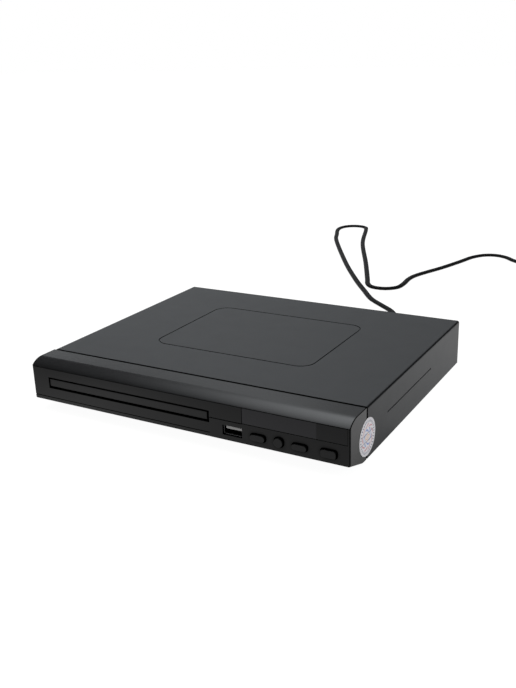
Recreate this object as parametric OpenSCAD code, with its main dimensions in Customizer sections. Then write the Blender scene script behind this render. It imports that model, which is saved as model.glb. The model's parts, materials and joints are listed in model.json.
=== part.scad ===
// Compact disc player with a sliding tray: steel cabinet, moulded front, disc loader,
// tilting optical traverse, circuit boards, rear sockets and a mains lead.
// Millimetres. x runs across, y runs back from the front face and z runs up.
// Pieces are drawn in the cabinet's own frame, with y = 0 at the front face and
// z = 0 at the cabinet's lower edge. placed() then stands the cabinet on its feet.

/* [Cabinet] */
// Width of the cabinet
body_w = 240; // [240:1:280]
// Depth from the front face to the back of the cover
body_d = 202; // [200:1:240]
// Height of the cabinet above its feet
body_h = 33.5; // [33:0.5:42]
// Thickness of the sheet steel
sheet_t = 0.8; // [0.6:0.1:1.2]
// Outer radius of the cover's folded edges
fold_r = 1.6; // [1.3:0.1:3]
// Gap between sheet-metal pieces that fit in each other
fit_gap = 0.2; // [0.1:0.05:0.3]
// Height of the feet below the cabinet
foot_h = 3.5; // [2:0.5:8]
// Diameter of a foot
foot_d = 16; // [12:1:20]
// Distance from the cabinet's side to a foot's axis
foot_in = 26; // [20:1:40]
// Width of the debossed frame on the cover
frame_w = 125; // [80:1:160]
// Depth of the debossed frame on the cover
frame_d = 94; // [60:1:110]
// Distance from the front face to the middle of the debossed frame
frame_y = 113.5; // [100:0.5:120]
// Corner radius of the debossed frame
frame_r = 10.5; // [4:0.5:20]
// Width of the debossed lines
line_w = 1.0; // [0.6:0.1:2]
// Depth of the debossed lines
line_d = 0.35; // [0.2:0.05:0.4]

/* [Front panel] */
// Depth of the moulded front panel
panel_d = 23.4; // [22:0.1:26]
// Wall of the moulded front panel
panel_t = 2; // [1.8:0.1:2.4]
// Length of the curved shoulder, front to back
shoulder_run = 10; // [6:0.5:14]
// Drop of the curved shoulder at the front face
shoulder_drop = 4.1; // [2:0.1:4.5]
// Length of the sloped chin, front to back
chin_run = 16.5; // [10:0.5:18]
// Rise of the sloped chin at the front face
chin_rise = 5.5; // [3:0.1:6]
// Radius of the panel's upright edges
edge_r = 0.8; // [0.6:0.1:2]
// Radius of the front face's lower corners
corner_r = 1.2; // [1:0.1:4]
// Seam between the front panel and the cover
seam = 1.2; // [0.6:0.1:1.4]
// Height of the groove above the set-back strip under the tray
strip_z = 8.2; // [7:0.1:9]
// Set-back of the strip
strip_back = 0.2; // [0.1:0.1:0.6]
// Width of the grooves in the front face
groove_w = 0.6; // [0.3:0.1:0.8]
// Depth of the grooves in the front face
groove_d = 0.7; // [0.3:0.1:0.8]

/* [Disc tray] */
// Width of the tray opening
opening_w = 131; // [131:0.2:135]
// Height of the tray opening
opening_h = 8; // [7.6:0.1:8.6]
// Height of the opening's middle above the cabinet's lower edge
opening_z = 19; // [18.5:0.1:19.5]
// Distance from the cabinet's left side to the opening
opening_in = 14; // [13:0.2:16]
// How far the tray sits left of the opening's middle
tray_off = 0.6; // [0:0.1:0.6]
// Width of the tray door
door_w = 128.2; // [127.6:0.1:128.6]
// Height of the tray door
door_h = 5; // [5:0.1:5.6]
// Thickness of the tray door
door_t = 2.5; // [2:0.1:3]
// Set-back of the tray door from the front face
door_back = 0.6; // [0.2:0.1:1]
// Width of the tray
tray_w = 128; // [127.6:0.1:128.4]
// Length of the tray
tray_len = 162; // [160:1:164]
// How far the tray opens
tray_travel = 125; // [110:1:125]
// Diameter of the disc that the tray holds
disc_d = 120; // [118:1:120]
// Radial gap between the disc and its recess
disc_gap = 0.8; // [0.5:0.1:1]
// Depth of the disc recess
recess_d = 2.2; // [1.8:0.1:2.3]
// Thickness of the floor under the disc
floor_t = 1.2; // [1:0.1:1.4]
// Distance from the front face to the disc's axis
disc_y = 68; // [67.5:0.1:68.5]
// Width of the pickup's slot in the tray
slot_w = 48; // [47:0.5:50]
// Width of the opening's clear edge beside the tray's runners
runner_gap = 0.5; // [0.3:0.1:0.8]

/* [Controls] */
// How far a button stands proud of the front face
button_proud = 1.6; // [1:0.1:2]
// Gap round a button in its hole
button_gap = 0.7; // [0.5:0.05:0.8]
// Travel of a button
button_travel = 0.6; // [0.3:0.1:0.8]
// Height of the buttons' middle above the cabinet's lower edge
button_z = 11.6; // [11:0.1:12]
// Height of the display window
window_h = 10.5; // [9:0.1:10.8]
// Width of the display window
window_w = 69.8; // [60:0.2:71]
// Distance from the cabinet's right side to the display window
window_in = 1.9; // [1.6:0.1:6]
// Thickness of the display window
window_t = 1.4; // [1:0.1:1.5]
// Height of the window's lower edge
window_z = 18.6; // [18.3:0.1:19]
// Distance from the cabinet's right side to the middle of the USB socket
usb_in = 78.6; // [78:0.1:80]
// Height of the middle of the USB socket
usb_z = 12.1; // [11.8:0.1:12.2]

/* [Loader] */
// Height of the loader's base above the cabinet's lower edge
base_z = 5; // [4.5:0.1:5.2]
// Thickness of the loader's base
base_t = 1.5; // [1.3:0.1:1.6]
// Thickness of the loader's side walls
wall_t = 2; // [1.6:0.1:2.4]
// Height of the loader's side walls above the base
wall_h = 19.5; // [19:0.1:20]
// Length of the loader
loader_len = 152.5; // [151:0.5:156]
// Play of a turning part on its pin
play = 0.06; // [0.03:0.01:0.09]
// Diameter of the loader's gear pins
pin_d = 3; // [2.4:0.1:3.4]
// Diameter of the loading motor
load_motor_d = 21; // [18:0.5:21.5]
// Height of the loading motor
load_motor_h = 7.6; // [6:0.1:8]
// Thickness of the drive belt
belt_d = 1.2; // [1:0.1:1.4]
// Tilt of the traverse when the tray is free to move, in degrees
tilt = 2.5; // [1.5:0.1:2.8]
// Travel of the cam slider
cam_travel = 10; // [8:0.5:11]

/* [Gears] */
// Module of the tray rack
rack_m = 1; // [1:0.05:1]
// Teeth of the pinion on the tray rack
pinion_n = 14; // [14:1:14]
// Module of the loader's gears
load_m = 0.8; // [0.8:0.05:0.8]
// Teeth of the tray gear
tray_gear_n = 32; // [30:1:32]
// Teeth of the small gear under the pulley
pulley_n = 12; // [12:1:14]
// Module of the sled rack
sled_m = 0.6; // [0.6:0.05:0.6]
// Teeth of the pinion on the sled rack
sled_n = 12; // [12:1:12]
// Module of the sled motor's gears
motor_m = 0.5; // [0.5:0.05:0.5]
// Teeth of the sled gear
sled_gear_n = 36; // [34:1:36]
// Teeth of the sled motor's pinion
sled_pinion_n = 12; // [12:1:14]

/* [Traverse] */
// Half-width of the traverse deck
deck_half = 30; // [29:0.5:30.5]
// Height of the traverse deck above the cabinet's lower edge
deck_z = 8; // [7.8:0.1:8.3]
// Thickness of the traverse deck
deck_t = 1.5; // [1.2:0.1:1.7]
// Distance from the front face to the traverse's hinge
hinge_y = 150; // [149:0.5:151]
// Diameter of the spindle motor
spindle_d = 22; // [18:0.5:23]
// Diameter of the turntable
turntable_d = 26; // [22:1:28]
// Diameter of the guide rods
rod_d = 3; // [2.5:0.1:3.2]
// Distance from the middle of the traverse to a guide rod
rod_x = 23; // [22.8:0.1:23.2]
// Travel of the pickup
sled_travel = 34; // [30:1:34]

/* [Boards] */
// Thickness of the circuit boards
board_t = 1.6; // [1.2:0.2:1.6]
// Height of the board stand-offs
standoff_h = 5; // [3:0.5:6]
// Diameter of the board stand-offs
standoff_d = 6; // [5:0.5:8]

/* [Rear sockets] */
// Outer diameter of a phono jack
jack_d = 8.3; // [8:0.1:8.4]
// How far a phono jack stands out of the rear panel
jack_len = 8.6; // [8:0.1:10]
// Distance between the phono jacks
jack_pitch = 14; // [13:0.5:15]
// Height of the phono jacks
jack_z = 16; // [15:0.5:18]

/* [Mains lead] */
// Width of the flat mains lead
cord_w = 5.2; // [4.8:0.1:5.6]
// Thickness of the flat mains lead
cord_h = 3.2; // [3:0.1:3.4]
// Length of the strain relief behind the rear panel
relief_len = 26; // [20:1:40]
// Distance from the middle of the cabinet to the mains lead
cord_x = 45; // [42:1:46]

/* [Hidden] */
$fn = 48;

// Cabinet
side_x = body_w / 2;
inner_x = side_x - sheet_t - fit_gap;
rear_y = body_d - sheet_t - fit_gap;
jack_reach = rear_y + jack_len - body_d;
front_y = -(body_d + jack_reach - button_proud) / 2;
pan_top = sheet_t;
cover_y = panel_d + seam;
foot_front = 45;
foot_back = body_d - 25;
side_line_y = [56.5, 138.5];
side_line_z = 17.6;
frame_x = -1.8;
seal_d = 24;
seal_t = 0.1;
seal_y = 24.5;
seal_z = 14.3;

// Front panel
shoulder_r = (pow(shoulder_run, 2) + pow(shoulder_drop, 2)) / (2 * shoulder_drop);
shoulder_z = body_h - shoulder_r;
crease_z = body_h - shoulder_drop;
chin_len = norm([chin_run, chin_rise]);
fine_groove = 0.35;
lip_t = 1.2;
lip_len = 3;
window_x = side_x - window_in - window_w / 2;
window_gap = 0.15;
window_edge = 0.4;
usb_x = side_x - usb_in;
usb_w = 13.1;
usb_h = 5.7;
usb_len = 14;
usb_back = 1.2;
usb_edge = 0.45;
tongue_back = 1.2;

// Buttons: distance from the cabinet's right side, height above button_z, width, height and
// corner radius
eject_key = [60.4, 0.1, 9.9, 3.9, 1.95];
play_key = [46.2, 0.2, 5.9, 5.9, 2.95];
stop_key = [32.3, 0, 9.6, 3.6, 1.8];
power_key = [13.5, 0, 9.8, 4.6, 1.5];
keys = [eject_key, play_key, stop_key, power_key];
flange_t = 1;
flange_out = 1.4;
flange_gap = 0.1;
stem_d = 3;
stem_end = 5;
plunger_tip = stem_end + button_travel + 0.1;
switch_y = plunger_tip + 1.4;
switch_w = 6;
switch_d = 3.4;

// Front board, which lies flat behind the buttons
front_board_y = [4.6, 21];
front_board_z = usb_z - usb_h / 2 - board_t;
front_board_x = [side_x - 93, side_x - 4];

// Tray
opening_x = -side_x + opening_in + opening_w / 2;
tray_x = opening_x - tray_off;
tray_top = opening_z - door_h / 2 + 0.05 + door_h - 0.1;
tray_y = door_back + door_t;
tray_end = tray_y + tray_len;
recess_z = tray_top - recess_d;
tray_floor = recess_z - floor_t;
tray_low = tray_floor - 2.6;
small_disc_d = 81;

// Gears
pa = 25;
pinion_r = rack_m * pinion_n / 2;
tray_gear_r = load_m * tray_gear_n / 2;
pulley_gear_r = load_m * pulley_n / 2;
load_centres = tray_gear_r + pulley_gear_r;
rack_x = 54;
tray_gear_x = rack_x - pinion_r;
tray_gear_y = 38.2;
pulley_x = tray_gear_x - load_centres;
pulley_r = 9;
motor_pulley_r = 3;
motor_x = -10;
motor_y = 37;
gear_z = base_z + base_t + 0.3;
load_gear_t = 2.5;
belt_z = 12.1;
pulley_t = 3;
motor_top = belt_z - pulley_t / 2 - 1.5;
pinion_top = tray_floor - 0.3;

// Loader
loader_y = panel_d + 0.5;
loader_end = loader_y + loader_len;
wall_x = tray_w / 2 + runner_gap;
loader_half = wall_x + wall_t;
wall_top = base_z + wall_h;
rail_top = tray_low - 0.2;
hole_half = deck_half + 1;
pillar_d = 9;
pillar_x = loader_half - 6;
pillar_y = [loader_y + 9, loader_end - 14];
screw_d = 2.6;
bridge_w = 30;
bridge_t = 1;
clamper_d = 24;
clamper_neck = 15;

// Traverse
hinge_z = deck_z + deck_t / 2;
hinge_pin = 3;
cam_y = 50.5;
cam_t = 2;
cam_pin = 2.4;
cam_z = 13;
cam_play = 0.15;
cam_drop = (hinge_y - cam_y) * sin(tilt) + (cam_z - hinge_z) * (1 - cos(tilt));
disc_z = recess_z + 0.7;
cone_d = 14.6;
rod_z = 11.5;
rod_y = [77, 145];
lens_y = disc_y + 24;
body_half = 17.5;
pickup_y = [lens_y - 10.7, lens_y + 11.3];
sled_rack_x = 28;
sled_r = sled_m * sled_n / 2;
sled_gear_r = motor_m * sled_gear_n / 2;
sled_pinion_r = motor_m * sled_pinion_n / 2;
sled_gear_x = sled_rack_x + sled_r;
sled_y = 112;
sled_gear_z = 14.2;
sled_gear_t = 1.3;
sled_pinion_x = sled_gear_x + sled_gear_r + sled_pinion_r;
sled_motor_d = 15;
wing_z = 12.4;

// Boards
board_z = pan_top + standoff_h;
board_top = board_z + board_t;
power_x = [tray_x + loader_half + 1.6, tray_x + loader_half + 29.6];
power_len = 96.2;
power_back = rear_y - sheet_t - 6;
power_y = [power_back - power_len, power_back];
main_x = [power_x[1] + 2.5, inner_x - 1.2];
main_y = [92, rear_y - sheet_t - 0.3];
hdmi_x = main_x[0] + 8.5;
hdmi_w = 15;
hdmi_h = 5.6;
hdmi_z = board_top + hdmi_h / 2;
jack_x = inner_x - 24;
jack_base = rear_y + 1.2;

// Mains lead
relief_z = 13.5;
relief_d = 10;
cord_z = cord_h / 2 - foot_h;
relief_end = rear_y + relief_len;
coil_x = 143.5;
coil_y = 477;
coil_r = 28.6;
coil_layers = 3;
coil_out = -20;
plug_tail = 28;
plug_w = 25;
plug_len = 36;
plug_h = 13.5;
// Height of the lead's middle where it leaves the strain relief and where it lies on the floor
high = relief_z;
low = cord_z;
lead_route = [
    [45, relief_end, high], [45, 233, high], [45, 244, 10.5], [44, 256, 4], [42, 269, -0.7],
    [38.5, 283.5, low], [32.5, 298, low], [23.5, 311, low], [8.5, 324.5, low],
    [-7.5, 339.5, low], [-24.5, 363, low], [-49.5, 399, low], [-88, 460, low], [-142, 554, low],
    [-158, 590, low], [-167, 612, low], [-169.5, 628, low], [-164, 640.5, low],
    [-152, 645.5, low], [-140, 640.5, low], [-132.5, 625, low], [-107, 554, low],
    [-66, 466, low], [-39, 406, low], [-30.5, 387, low], [-21.2, 377.8, low], [-7.9, 377.8, low],
    [1.5, 386.9, low], [2.5, 402, low], [1, 422, low], [4, 441, low], [18, 479, low],
    [28, 512.5, low], [34, 535, low], [43.5, 549.5, low], [56, 554, low], [69, 548.5, low],
    [83, 535, low], [116.5, 514, low], [155.7, 505.4, low]
];

// Helpers

module placed() {
    translate([0, front_y, foot_h]) children();
}

// Extrudes a (y, z) outline along x, about x = 0
module across(w) {
    rotate([90, 0, 90]) linear_extrude(w, center = true) children();
}

// Extrudes an (x, z) outline back from the front face
module back_from(y, len) {
    translate([0, y + len, 0]) rotate([90, 0, 0]) linear_extrude(len) children();
}

module block(x, y, z) {
    translate([x[0], y[0], z[0]]) cube([x[1] - x[0], y[1] - y[0], z[1] - z[0]]);
}

module post(x, y, z, d) {
    translate([x, y, z[0]]) cylinder(d = d, h = z[1] - z[0]);
}

// A cylinder whose axis runs front to back
module along(x, z, y, d) {
    translate([x, y[1], z]) rotate([90, 0, 0]) cylinder(d = d, h = y[1] - y[0]);
}

module rounded_rect(w, h, r) {
    square([w - 2 * r, h], center = true);
    square([w, h - 2 * r], center = true);
    for (sx = [-1, 1], sy = [-1, 1])
        translate([sx * (w / 2 - r), sy * (h / 2 - r)]) circle(r = r);
}

module pill(w, h) {
    for (s = [-1, 1]) translate([s * (w - h) / 2, 0]) circle(d = h);
    if (w > h) square([w - h, h], center = true);
}

// Gears and racks

function inv_deg(r, base) = let (t = sqrt(pow(r / base, 2) - 1)) t * 180 / PI - atan(t);

function spot(r, a) = [r * cos(a), r * sin(a)];

// Outline of an involute gear with a tooth centred on the x axis
function gear_points(m, n, slack = 0.08, steps = 3) = let (
    r = m * n / 2,
    base = r * cos(pa),
    root = r - 1.2 * m,
    tip = r + 0.9 * m,
    half = 90 / n - slack / r * 90 / PI + inv_deg(r, base),
    low = max(base, root + 0.01),
    rise = [for (i = [0 : steps]) low + (tip - low) * i / steps]
) [for (k = [0 : n - 1]) let (c = 360 * k / n) each concat(
    [spot(root, c - half)],
    [for (q = rise) spot(q, c - half + inv_deg(q, base))],
    [for (i = [steps : -1 : 0]) spot(rise[i], c + half - inv_deg(rise[i], base))],
    [spot(root, c + half)]
)];

module gear(m, n, t, turn = 0) {
    rotate(turn) linear_extrude(t) polygon(gear_points(m, n));
}

// Rack outline: teeth point to -x, the pitch line is x = 0 and teeth sit either side of y = 0
function rack_points(m, first, last, back, slack = 0.08) = let (
    p = PI * m,
    tip = 0.9 * m,
    root = 1.2 * m,
    half = p / 4 - slack / 2
) concat(
    [[back, first * p]],
    [for (k = [first : last - 1]) let (c = (k + 0.5) * p) each [
        [root, c - half - root * tan(pa)],
        [-tip, c - half + tip * tan(pa)],
        [-tip, c + half - tip * tan(pa)],
        [root, c + half + root * tan(pa)]
    ]],
    [[back, last * p]]
);

module rack(m, first, last, back, t) {
    linear_extrude(t) polygon(rack_points(m, first, last, back));
}

// Cabinet

// Inner surface heights of the front panel's profile at a given depth into the wall
function chin_z(t) = (chin_rise * chin_run + t * chin_len - chin_rise * t) / chin_run;
function chin_y(t) = (chin_rise * chin_run + t * chin_len - chin_run * t) / chin_rise;
function crease(t) = shoulder_z + sqrt(pow(shoulder_r - t, 2) - pow(shoulder_run - t, 2));

module panel_profile(t, end) {
    intersection() {
        polygon([
            [t, chin_z(t)], [chin_y(t), t], [end, t], [end, body_h - t], [t, body_h - t]
        ]);
        union() {
            translate([shoulder_run, shoulder_z]) circle(r = shoulder_r - t, $fn = 96);
            translate([shoulder_run, 0]) square([end, body_h]);
            square([shoulder_run, crease(t)]);
        }
    }
}

// The panel's outer form, with its upright edges and lower corners rounded
module panel_form() {
    intersection() {
        across(body_w) panel_profile(0, panel_d);
        linear_extrude(body_h) union() {
            translate([0, panel_d]) rounded_rect(body_w, 2 * panel_d, edge_r);
            translate([-side_x, edge_r]) square([body_w, panel_d]);
        }
        // Rounded lower corners, which run along the chin
        translate([0, 0, chin_rise]) rotate([-atan(chin_rise / chin_run), 0, 0])
            back_from(-2 * body_h, 4 * body_h) union() {
                translate([0, body_h]) rounded_rect(body_w, 2 * body_h, corner_r);
                translate([-side_x, 2 * corner_r]) square([body_w, 2 * body_h]);
            }
    }
}

module key_hole(key, grow) {
    w = key[2] + 2 * grow;
    h = key[3] + 2 * grow;
    translate([side_x - key[0], button_z + key[1]])
        if (key[3] > 2 * key[4]) rounded_rect(w, h, key[4] + grow);
        else pill(w, h);
}

module front_panel() color([0.16, 0.16, 0.165]) placed() {
    window_lo = window_x - window_w / 2;
    opening_hi = opening_x + opening_w / 2;
    difference() {
        union() {
            difference() {
                panel_form();
                across(body_w - 2 * panel_t) panel_profile(panel_t, panel_d + 1);
            }
            // Lip that fits inside the cover and over the pan
            translate([0, panel_d - 3, body_h / 2]) rotate([-90, 0, 0]) linear_extrude(lip_len + 3)
                difference() {
                    square([2 * inner_x, body_h - 2 * sheet_t - 2 * fit_gap], center = true);
                    square(
                        [2 * inner_x - 2 * lip_t, body_h - 2 * sheet_t - 2 * fit_gap - 2 * lip_t],
                        center = true
                    );
                }
            // Ribs and bosses that carry the front board
            intersection() {
                panel_form();
                union() {
                    for (x = [front_board_x[0] + 4, side_x - 52, side_x - 8])
                        translate([x - 0.75, 4.6, 1]) cube([1.5, 15, front_board_z - 1]);
                    for (x = [front_board_x[0] + 9, side_x - 14])
                        post(x, 17, [1, front_board_z], 5);
                }
            }
        }
        // Tray opening
        back_from(-1, panel_t + 2) translate([opening_x, opening_z])
            square([opening_w, opening_h], center = true);
        // USB opening
        back_from(-1, panel_t + 2) translate([usb_x, usb_z])
            square([usb_w + 2 * usb_edge, usb_h + 2 * usb_edge], center = true);
        // Button holes
        back_from(-1, panel_t + 2) for (key = keys) key_hole(key, button_gap);
        // Window recess and the light opening behind it
        back_from(-1, window_t + 1) translate([window_x, window_z + window_h / 2])
            square([window_w, window_h], center = true);
        back_from(-1, panel_t + 2) translate([window_lo + 25.4, window_z + window_h / 2])
            square([46, window_h - 3], center = true);
        // Set-back strip under the tray, and the groove above it
        block([-side_x - 1, opening_hi], [-1, strip_back], [0, strip_z]);
        block(
            [-side_x - 1, opening_hi],
            [-1, strip_back + groove_d],
            [strip_z - groove_w / 2, strip_z + groove_w / 2]
        );
        // Mid groove, from the tray opening to the window
        block(
            [opening_hi + 0.3, window_lo + 0.1],
            [-1, groove_d],
            [window_z - groove_w / 2, window_z + groove_w / 2]
        );
        // Fine groove along the shoulder's lower edge
        block([-side_x - 1, side_x + 1], [-1, fine_groove], [crease_z - fine_groove, crease_z]);
        // Screw holes in the bosses
        for (x = [front_board_x[0] + 9, side_x - 14])
            post(x, 17, [front_board_z - 3, front_board_z + 1], 1.7);
    }
}

module display_window() color([0.08, 0.08, 0.1]) placed()
    block(
        [window_x - window_w / 2 + window_edge, window_x + window_w / 2 - window_gap],
        [0.05, window_t],
        [window_z + window_edge, window_z + window_h - window_gap]
    );

module cover_outline(inset) {
    difference() {
        translate([0, body_h / 2]) square([body_w - 2 * inset, body_h - 2 * inset], center = true);
        for (s = [-1, 1])
            translate([s * (side_x - fold_r), body_h - fold_r]) intersection() {
                difference() {
                    square(2 * fold_r, center = true);
                    circle(r = fold_r - inset);
                }
                translate([s > 0 ? 0 : -fold_r, 0]) square(fold_r);
            }
    }
}

module cover_frame(w) {
    rounded_rect(frame_w + w, frame_d + w, frame_r + w / 2);
}

module top_cover() color([0.3, 0.3, 0.31]) placed() difference() {
    union() {
        difference() {
            back_from(cover_y, body_d - cover_y) cover_outline(0);
            back_from(cover_y - 1, body_d - cover_y + 2) difference() {
                cover_outline(sheet_t);
                square([3 * body_w, 2 * sheet_t], center = true);
            }
            block([-side_x + sheet_t, side_x - sheet_t], [0, body_d + 1], [-1, sheet_t + 1]);
        }
        // Rear flange over the rear panel's upper edge
        block(
            [-side_x + sheet_t, side_x - sheet_t],
            [body_d - sheet_t, body_d],
            [body_h - 6, body_h - sheet_t]
        );
    }
    // Debossed frame on top
    translate([frame_x, frame_y, body_h - line_d]) linear_extrude(1) difference() {
        cover_frame(line_w);
        cover_frame(-line_w);
    }
    // Debossed line on each side
    for (s = [-1, 1])
        translate([s * side_x, 0, side_line_z]) rotate([0, 90, 0]) linear_extrude(2 * line_d, center = true)
            translate([0, (side_line_y[0] + side_line_y[1]) / 2])
                square([line_w, side_line_y[1] - side_line_y[0]], center = true);
    // Holes for the rear screws
    for (x = [-80, 0, 90]) along(x, body_h - 3.4, [body_d - 2, body_d + 1], 3.2);
}

module chassis_pan() color([0.55, 0.56, 0.58]) placed() {
    pan_y = [cover_y + 0.1, rear_y - sheet_t - 0.1];
    difference() {
        union() {
            block([-inner_x, inner_x], pan_y, [0, pan_top]);
            // Side flanges, behind the front panel's lip
            for (s = [-1, 1])
                translate([s * (inner_x - sheet_t / 2) - sheet_t / 2, panel_d + lip_len + 1, 0])
                    cube([sheet_t, pan_y[1] - panel_d - lip_len - 1, 10]);
            // Stiffening ribs
            for (x = [-90, -40, 10])
                translate([x, (pan_y[0] + pan_y[1]) / 2, pan_top]) rotate([90, 0, 0])
                    cylinder(r = 1.2, h = body_d / 2, center = true);
            // Stand-offs
            for (p = standoffs) post(p[0], p[1], [pan_top / 2, board_z], standoff_d);
        }
        // The ribs leave the underside level
        block([-side_x, side_x], [0, body_d], [-3, 0]);
        for (p = standoffs) post(p[0], p[1], [-1, board_z + 1], 2.2);
        // Holes for the feet and the loader's screws
        for (p = foot_places) post(p[0], p[1], [-1, pan_top + 1], 4.2);
        for (p = loader_places) post(p[0], p[1], [-1, pan_top + 1], screw_d + 0.6);
        // Vent slots
        for (i = [0 : 8]) block([60 + 6 * i, 62.5 + 6 * i], [40, 75], [-1, pan_top + 1]);
    }
}

foot_places = [for (s = [-1, 1], y = [foot_front, foot_back]) [s * (side_x - foot_in), y]];
loader_places = [for (s = [-1, 1], y = pillar_y) [tray_x + s * pillar_x, y]];
main_standoffs = [for (x = [main_x[0] + 5, main_x[1] - 5], y = [main_y[0] + 5, main_y[1] - 26]) [x, y]];
power_standoffs = [for (x = [power_x[0] + 4, power_x[1] - 4], y = [power_y[0] + 4, power_y[1] - 4]) [x, y]];
standoffs = concat(main_standoffs, power_standoffs);

module feet() color([0.1, 0.1, 0.1]) placed()
    for (p = foot_places) {
        translate([p[0], p[1], -foot_h]) cylinder(d1 = foot_d - 1.5, d2 = foot_d, h = foot_h);
        post(p[0], p[1], [-0.5, pan_top + 1.2], 4);
    }

module rear_panel() color([0.2, 0.2, 0.2]) placed() difference() {
    union() {
        block([-inner_x, inner_x], [rear_y - sheet_t, rear_y], [0, body_h - sheet_t - fit_gap]);
        // Foot flange that stands on the pan
        for (x = [-90, -20])
            block([x, x + 30], [rear_y - sheet_t - 8, rear_y - sheet_t / 2], [pan_top, 2 * pan_top]);
    }
    along(cord_x, relief_z, [rear_y - 3, rear_y + 3], relief_d - 1.2);
    back_from(rear_y - 3, 6) translate([hdmi_x, hdmi_z])
        square([hdmi_w + 1, hdmi_h + 1], center = true);
    for (i = [-1 : 1])
        along(jack_x + i * jack_pitch, jack_z, [rear_y - 3, rear_y + 3], jack_d);
    for (x = [-80, 0, 90]) along(x, body_h - 3.4, [rear_y - 3, rear_y + 3], 2.4);
    // Vent slots
    for (i = [0 : 11]) block([-100 + 7 * i, -98 + 7 * i], [rear_y - 3, rear_y + 1], [9, 22]);
}

module seal_sticker() color([0.86, 0.85, 0.86]) placed()
    translate([side_x, seal_y, seal_z]) rotate([0, 90, 0]) cylinder(d = seal_d, h = seal_t);

// Controls

module button(key) placed() {
    back_from(-button_proud, button_proud + panel_t + 1) key_hole(key, 0);
    back_from(panel_t + flange_gap, flange_t) key_hole(key, flange_out);
    along(side_x - key[0], button_z, [panel_t, stem_end], stem_d);
}

module eject_button() color([0.17, 0.17, 0.18]) button(eject_key);

module play_button() color([0.17, 0.17, 0.18]) button(play_key);

module stop_button() color([0.17, 0.17, 0.18]) button(stop_key);

module power_button() color([0.17, 0.17, 0.18]) button(power_key);

module front_board() color([0.1, 0.3, 0.16]) placed() difference() {
    block(front_board_x, front_board_y, [front_board_z, front_board_z + board_t]);
    for (x = [front_board_x[0] + 9, side_x - 14])
        post(x, 17, [front_board_z - 1, front_board_z + board_t + 1], 2.2);
}

module tact_switches() color([0.75, 0.75, 0.72]) placed()
    for (key = keys) {
        x = side_x - key[0];
        block(
            [x - switch_w / 2, x + switch_w / 2],
            [switch_y, switch_y + switch_d],
            [front_board_z + board_t, button_z + 2]
        );
        along(x, button_z, [plunger_tip, switch_y + 0.5], 2.4);
    }

module display_block() color([0.85, 0.85, 0.85]) placed() {
    x = window_x - window_w / 2 + 25.4;
    low = window_z + 1;
    block([x - 25, x + 25], [panel_t + 0.2, panel_t + 6], [low, low + window_h - 3.4]);
    // Legs that stand on the front board
    for (s = [-1, 1])
        block(
            [x + s * 24 - 1, x + s * 24 + 1],
            [front_board_y[0] + 0.4, panel_t + 6],
            [front_board_z + board_t, low + 1]
        );
}

module usb_shell() color([0.8, 0.8, 0.82]) placed() difference() {
    back_from(usb_back, usb_len) translate([usb_x, usb_z])
        rounded_rect(usb_w, usb_h, 0.6);
    back_from(usb_back - 1, usb_len) translate([usb_x, usb_z])
        rounded_rect(usb_w - 0.6, usb_h - 0.6, 0.4);
}

module usb_tongue() color([0.92, 0.92, 0.9]) placed()
    back_from(usb_back + tongue_back, usb_len - tongue_back - 1) translate([usb_x, usb_z + 1.2])
        square([11.1, 1.84], center = true);

// Tray

module tray_door() color([0.17, 0.17, 0.18]) placed() {
    back_from(door_back, door_t) translate([tray_x, opening_z])
        square([door_w, door_h], center = true);
    // Snap tabs under the tray's front edge
    for (s = [-1, 1])
        block(
            [tray_x + s * 35 - 6, tray_x + s * 35 + 6],
            [tray_y - 0.5, tray_y + 4],
            [opening_z - door_h / 2 + 0.3, tray_floor - 0.1]
        );
}

module disc_tray() color([0.13, 0.13, 0.135]) placed() translate([tray_x, 0, 0]) {
    half = tray_w / 2;
    difference() {
        union() {
            block([-half, half], [tray_y, tray_end], [tray_floor, tray_top]);
            for (s = [-1, 1])
                block([s > 0 ? half - 2 : -half, s > 0 ? half : 2 - half], [tray_y, tray_end], [tray_low, tray_top]);
        }
        post(0, disc_y, [recess_z, tray_top + 1], disc_d + 2 * disc_gap);
        post(0, disc_y, [recess_z - 0.5, tray_top], small_disc_d);
        // Pickup slot, open at the rear
        post(0, disc_y, [tray_low - 1, tray_top + 1], slot_w);
        block([-slot_w / 2, slot_w / 2], [disc_y, tray_end + 1], [tray_low - 1, tray_top + 1]);
        // Finger recesses at the disc's front edge
        for (s = [-1, 1]) post(s * 44, disc_y - 48, [recess_z, tray_top + 1], 18);
    }
    translate([rack_x, tray_gear_y, tray_low])
        rack(rack_m, -1, ceil(tray_travel / (PI * rack_m)), 3.4, tray_floor - tray_low + 0.2);
}

// Loader

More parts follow.
